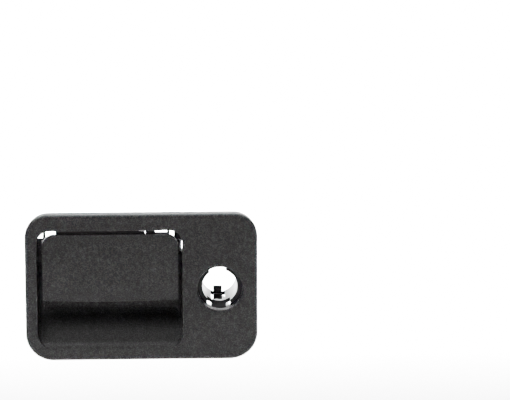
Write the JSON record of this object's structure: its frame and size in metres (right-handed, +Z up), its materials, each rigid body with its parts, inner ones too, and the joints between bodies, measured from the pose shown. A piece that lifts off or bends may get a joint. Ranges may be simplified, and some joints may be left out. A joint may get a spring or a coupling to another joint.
{
  "type": "car door handle",
  "caption": "Recessed car door handle: bezel with finger cup, hinged pull flap with sprung release arm, empty lock barrel bore and long screw posts.",
  "frame": {"origin": "on the lock bore's axis, on the seat that the lock barrel's head rests on", "axes": "+X along the handle towards its lock end, -Y out of the door towards the hand, +Z up"},
  "size_m": [0.13, 0.0557, 0.084],
  "materials": {
    "housing_plastic": "fine-grained moulded plastic, matt in front and smoother behind",
    "flap_plastic": "fine-grained moulded plastic, matt",
    "inner_plastic": "smooth moulded plastic, semi-gloss",
    "gasket_rubber": "soft black rubber",
    "pin_steel": "zinc plated, satin",
    "spring_steel": "plated spring wire",
    "insert_brass": "turned brass, satin"
  },
  "bodies": {
    "frame": {"housing": "housing_plastic", "post_low": "housing_plastic", "post_high": "housing_plastic", "lock_sleeve": "inner_plastic", "gasket": "gasket_rubber", "main_pin": "pin_steel", "end_pin": "pin_steel", "return_spring": "spring_steel", "spring_bush": "inner_plastic", "insert_low": "insert_brass", "insert_high": "insert_brass"},
    "flap": {"flap_shell": "flap_plastic", "flap_backing": "inner_plastic", "release_arm": "inner_plastic"}
  },
  "joints": [
    {"name": "flap_hinge", "type": "hinge", "parent": "frame", "child": "flap", "pos_m": [-0.0439, 0.0021, 0.0232], "axis": [-1, 0, 0], "range_deg": [0, 22], "stiffness_Nm_per_rad": 0.16, "springref_deg": -14.32, "deforming": ["return_spring"]}
  ]
}
